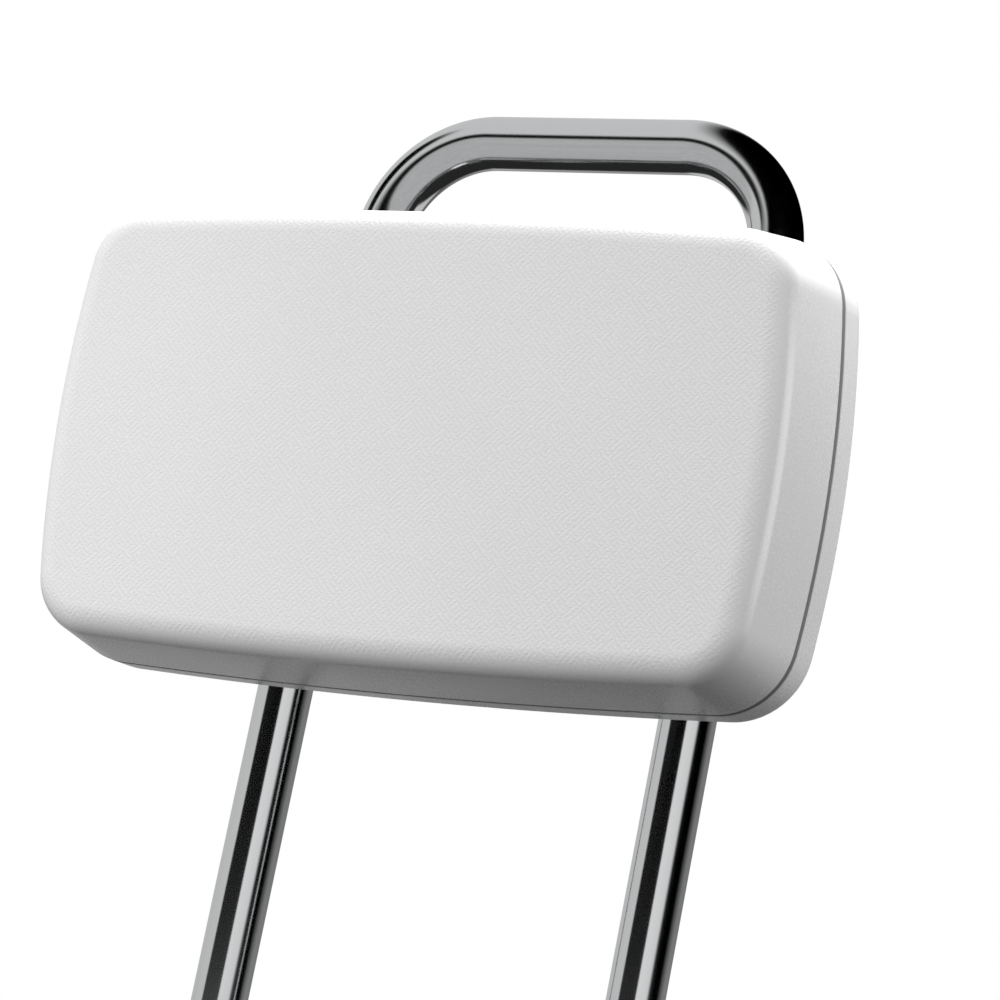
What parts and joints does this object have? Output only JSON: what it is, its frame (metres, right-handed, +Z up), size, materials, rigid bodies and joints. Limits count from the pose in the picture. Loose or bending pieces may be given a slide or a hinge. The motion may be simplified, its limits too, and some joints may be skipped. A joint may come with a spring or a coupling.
{
  "type": "retail security gate post",
  "caption": "Anti-theft gate post: a wide white detector head on a tilt bracket in front of an inverted-U chrome tube frame on a flat floor base.",
  "frame": {"origin": "middle of the base plate's underside, on the floor", "axes": "+X to the right seen from the front, +Y to the back, +Z up; the head's grained face looks to -Y"},
  "size_m": [0.462, 0.2633, 1.5],
  "materials": {
    "chrome_tube": "mirror polished",
    "white_shell": "fine moulded grain",
    "grey_gasket": "matte",
    "base_paint": "powder coat",
    "white_cover": "satin",
    "turned_steel": "turned",
    "zinc_sheet": "zinc plated",
    "black_paint": "powder coat",
    "cast_aluminium": "blasted",
    "fastener_steel": "plated",
    "nylon": "natural nylon",
    "black_plastic": "satin",
    "copper_winding": "enamelled",
    "green_board": "solder mask",
    "green_plastic": "gloss",
    "blue_plastic": "gloss",
    "brass": "turned",
    "capacitor_can": "plain",
    "black_rubber": "matte"
  },
  "bodies": {
    "frame": {"frame_tube": "chrome_tube", "leg_entry_grommet": "black_rubber", "base_plate": "base_paint", "leg_spigot_left": "turned_steel", "leg_spigot_right": "turned_steel", "base_cover": "white_cover", "cover_posts": "turned_steel", "cover_screws": "fastener_steel", "leg_collar_left": "chrome_tube", "leg_collar_right": "chrome_tube", "leg_screws": "fastener_steel", "clamp_front_left": "cast_aluminium", "clamp_front_right": "cast_aluminium", "clamp_rear_left": "cast_aluminium", "clamp_rear_right": "cast_aluminium", "tilt_bracket": "black_paint", "clamp_bolts": "fastener_steel", "clamp_nuts": "fastener_steel"},
    "head": {"front_shell": "white_shell", "rear_shell": "white_shell", "seam_gasket": "grey_gasket", "shell_screws": "fastener_steel", "head_bracket": "black_paint", "bracket_screws": "fastener_steel", "bracket_nuts": "fastener_steel", "pivot_bolt_left": "fastener_steel", "pivot_bolt_right": "fastener_steel", "pivot_nuts": "fastener_steel", "friction_washers": "nylon", "chassis_plate": "zinc_sheet", "circuit_board": "green_board", "board_standoffs": "brass", "board_screws": "fastener_steel", "coil_former": "black_plastic", "antenna_coil": "copper_winding", "coil_screws": "fastener_steel", "shield_can": "zinc_sheet", "transformer": "black_plastic", "capacitors": "capacitor_can", "heat_sink": "cast_aluminium", "terminal_block": "green_plastic", "trimmer_body": "blue_plastic", "sounder": "black_plastic", "cable_gland": "black_plastic", "gland_nut": "black_plastic"},
    "trimmer": {"trimmer_rotor": "brass"}
  },
  "joints": [
    {"name": "head_tilt", "type": "hinge", "parent": "frame", "child": "head", "pos_m": [0, -0.004, 1.265], "axis": [1, 0, 0], "range_deg": [-15.6, 9.4]},
    {"name": "trimmer_turn", "type": "hinge", "parent": "head", "child": "trimmer", "pos_m": [0, -0.04066, 1.24332], "axis": [0, 0.9952, 0.0976], "range_deg": [-105, 105]}
  ]
}
